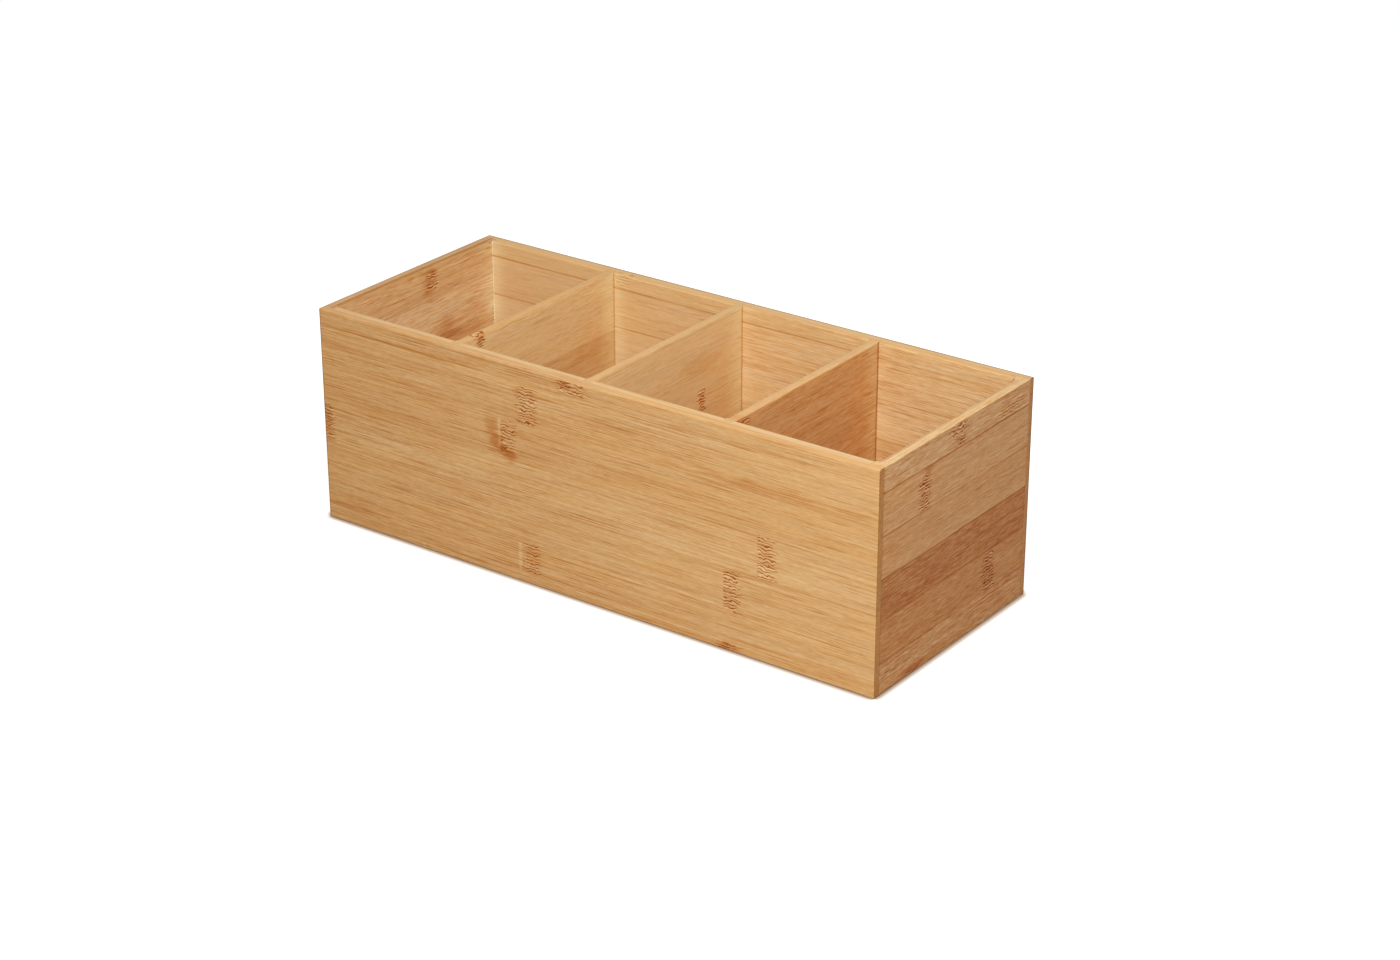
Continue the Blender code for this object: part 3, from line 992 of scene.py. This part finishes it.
def rabbet(name, side):
    """The room that an end board needs in the long boards."""
    low, high = grown(*fit_into_joints(name), CUT_OVERRUN)
    gap = Vector((0, CUT_OVERRUN - JOINT_GAP, 0))
    low, high = low + gap, high - gap
    if side > 0:
        low.x += CUT_OVERRUN - JOINT_GAP
    else:
        high.x -= CUT_OVERRUN - JOINT_GAP
    return box_mesh("cutter", low, high)


def dado(name):
    """The room that a divider needs in the long boards, from the bottom board up."""
    low, high = grown(*fit_into_joints(name), JOINT_GAP)
    low.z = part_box("bottom_panel")[1].z
    high.z += CUT_OVERRUN
    return box_mesh("cutter", low, high)


def groove(axis):
    """The room for the bottom board, cut right along one axis."""
    low, high = grown(*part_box("bottom_panel"), CAD_GAP)
    past = Vector((0, 0, 0))
    past[axis] = high[axis] + CUT_OVERRUN
    return box_mesh("cutter", low - past, high + past)


def rim_section(inner, top, side, radius):
    """Outline in XZ of what a rounding of this radius takes off. side is where the board lies."""
    edge = inner - side * CUT_OVERRUN
    outline = [(edge, top + CUT_OVERRUN), (edge, top - radius)]
    for step in range(END_RIM_SEGMENTS + 1):
        angle = math.pi / 2 * step / END_RIM_SEGMENTS
        x = inner + side * radius * (1 - math.cos(angle))
        outline.append((x, top - radius * (1 - math.sin(angle))))
    outline.append((inner + side * radius, top + CUT_OVERRUN))
    return outline


def rim_stations(start_radius, full_radius):
    """Places along Y with the radius at each. It fades out towards the long boards."""
    reach = -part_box("front_panel")[1].y
    stations = []
    for step in range(RIM_STEPS + 1):
        share = step / RIM_STEPS
        ease = share * share * (3 - 2 * share)
        stations.append((reach - RIM_FADE * share, start_radius + (full_radius - start_radius) * ease))
    return stations + [(-y, radius) for y, radius in reversed(stations)]


def rim_cutter(name, side, start_radius, full_radius):
    """What a rounding takes off one upper edge of an end board or a divider."""
    low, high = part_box(name)
    inner = high.x if side < 0 else low.x
    shape = bmesh.new()
    rings = [
        [shape.verts.new((x, y, z)) for x, z in rim_section(inner, high.z, side, radius)]
        for y, radius in rim_stations(start_radius, full_radius)
    ]
    for ring, following in zip(rings, rings[1:]):
        for index in range(len(ring)):
            shape.faces.new((ring[index - 1], ring[index], following[index], following[index - 1]))
    shape.faces.new(rings[0])
    shape.faces.new(rings[-1])
    bmesh.ops.recalc_face_normals(shape, faces=shape.faces)
    return finished_mesh("cutter", shape)


def ease_long_board(side):
    """The rim is eased for the hand, most of all outside. The other edges are only taken off."""

    def share_of(place, run):
        if place.z < 0 or not run.x:
            return CRISP_SHARE
        return SOFT_RIM_RADIUS / EDGE_RADIUS if place.y * side > 0 else 1.0

    return share_of


def ease_end_board(side):
    """The inner rim is rounded over by a cut, and the upright edges sit in the long boards."""

    def share_of(place, run):
        outer_or_low = place.x * side > 0 or place.z < 0
        return CRISP_SHARE if run.y and outer_or_low else 0.0

    return share_of


def ease_nothing(place, run):
    return 0.0


def ease_edges(piece, share_of):
    """Rounds a box's edges over. share_of gives the share of the usual radius for an edge, from its
    place, as seen from the middle of the box, and its run from end to end.
    """
    mesh = piece.data
    weights = mesh.attributes.new("bevel_weight_edge", "FLOAT", "EDGE").data
    low = Vector([min(vertex.co[axis] for vertex in mesh.vertices) for axis in range(3)])
    high = Vector([max(vertex.co[axis] for vertex in mesh.vertices) for axis in range(3)])
    middle = (low + high) / 2
    for edge, weight in zip(mesh.edges, weights):
        start, end = (mesh.vertices[index].co for index in edge.vertices)
        weight.value = share_of((start + end) / 2 - middle, end - start) * EDGE_RADIUS / SOFT_RIM_RADIUS
    bevel = piece.modifiers.new("eased edges", "BEVEL")
    bevel.limit_method = "WEIGHT"
    bevel.width = SOFT_RIM_RADIUS
    bevel.segments = EDGE_SEGMENTS


def cut(piece, meshes):
    """Cuts shapes out of a piece and keeps the result as its mesh."""
    cutters = [new_object("cutter", mesh) for mesh in meshes]
    for cutter in cutters:
        boolean = piece.modifiers.new("cut", "BOOLEAN")
        boolean.operation = "DIFFERENCE"
        boolean.solver = "EXACT"
        boolean.object = cutter
    evaluated = piece.evaluated_get(bpy.context.evaluated_depsgraph_get())
    mesh = bpy.data.meshes.new_from_object(evaluated)
    piece.modifiers.clear()
    piece.data = mesh
    for cutter in cutters:
        bpy.data.objects.remove(cutter, do_unlink=True)


def make_board(name, share_of=ease_nothing, cuts=()):
    """A board in the place of its CAD node, cut for its neighbours, in its own bamboo."""
    board = new_object(name + "_board", box_mesh(name, *fit_into_joints(name)))
    ease_edges(board, share_of)
    cut(board, cuts)
    board.data.materials.clear()
    board.data.materials.append(bamboo(name + "_bamboo", BOARDS[name]))
    board.data.shade_smooth()
    board.data.set_sharp_from_angle(angle=SMOOTH_BELOW)
    weighted = board.modifiers.new("even shading", "WEIGHTED_NORMAL")
    weighted.keep_sharp = True
    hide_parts(name)
    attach(board, "root")


def make_long_board(name, side):
    rabbets = [rabbet(end, end_side) for end, end_side in ENDS.items()]
    make_board(name, ease_long_board(side), [*rabbets, *map(dado, DIVIDERS), groove(0)])


def make_end_board(name, side):
    rim = rim_cutter(name, side, EDGE_RADIUS, END_RIM_RADIUS)
    make_board(name, ease_end_board(side), [rim, groove(1)])


def make_divider(name):
    rims = [rim_cutter(name, side, DIVIDER_RIM_START, DIVIDER_RIM_RADIUS) for side in (-1, 1)]
    make_board(name, cuts=rims)


def aim(thing, place, target):
    thing.location = place
    thing.rotation_euler = (target - place).to_track_quat("-Z", "Y").to_euler()


def add_camera():
    data = bpy.data.cameras.new("camera")
    data.lens = CAMERA_LENS
    data.sensor_width = CAMERA_SENSOR
    camera = new_object("camera", data)
    back = Vector((
        math.sin(CAMERA_AZIMUTH) * math.cos(CAMERA_ELEVATION),
        -math.cos(CAMERA_AZIMUTH) * math.cos(CAMERA_ELEVATION),
        math.sin(CAMERA_ELEVATION),
    ))
    aim(camera, CAMERA_TARGET + back * CAMERA_DISTANCE, CAMERA_TARGET)
    bpy.context.scene.camera = camera


def add_key_light():
    data = bpy.data.lights.new("key", "AREA")
    data.energy = KEY_POWER
    data.size = KEY_SIZE
    aim(new_object("key", data), KEY_PLACE, KEY_AIM)


def add_surround():
    """An even light from all sides. It is dimmer than the white that the camera sees."""
    world = bpy.data.worlds.new("surround")
    world.use_nodes = True
    graph = Graph(world.node_tree)
    background = world.node_tree.nodes["Background"].inputs
    background["Color"].default_value = (1, 1, 1, 1)
    strength = graph.math("MULTIPLY_ADD", graph.seen(), 1 - SURROUND_STRENGTH, SURROUND_STRENGTH)
    graph.feed(background["Strength"], strength)
    bpy.context.scene.world = world


def paper():
    """White paper where it is seen, with a painted contact shadow close to the box, and a plain matt grey
    to other light.
    """
    material = bpy.data.materials.new("paper")
    material.use_nodes = True
    nodes = material.node_tree.nodes
    nodes.remove(nodes["Principled BSDF"])
    graph = Graph(material.node_tree)
    matt = graph.node("BsdfDiffuse", {"Color": FLOOR_TONE})
    open_share = graph.node("AmbientOcclusion", {"Distance": CONTACT_REACH}).outputs["AO"]
    contact = graph.vector(*(graph.math("POWER", open_share, power) for power in CONTACT_POWERS))
    seen_tone = graph.blend(1.0, contact, FLOOR_SEEN_TONE, "MULTIPLY")
    shaded = graph.node("BsdfDiffuse", {"Color": seen_tone})
    glow = graph.node("Emission", {"Color": contact, "Strength": FLOOR_GLOW})
    white = graph.node("AddShader", {0: shaded.outputs[0], 1: glow.outputs[0]})
    mixed = graph.node("MixShader", {0: graph.seen(), 1: matt.outputs[0], 2: white.outputs[0]})
    graph.feed(nodes["Material Output"].inputs["Surface"], mixed.outputs[0])
    return material


def add_floor():
    shape = bmesh.new()
    bmesh.ops.create_grid(shape, x_segments=1, y_segments=1, size=FLOOR_SIZE / 2)
    floor = new_object("floor", finished_mesh("floor", shape))
    floor.data.materials.append(paper())


make_long_board("front_panel", -1)
make_long_board("back_panel", 1)
for end, side in ENDS.items():
    make_end_board(end, side)
for divider in DIVIDERS:
    make_divider(divider)
make_board("bottom_panel")

add_camera()
add_key_light()
add_surround()
add_floor()
bpy.context.scene.view_settings.view_transform = "Standard"
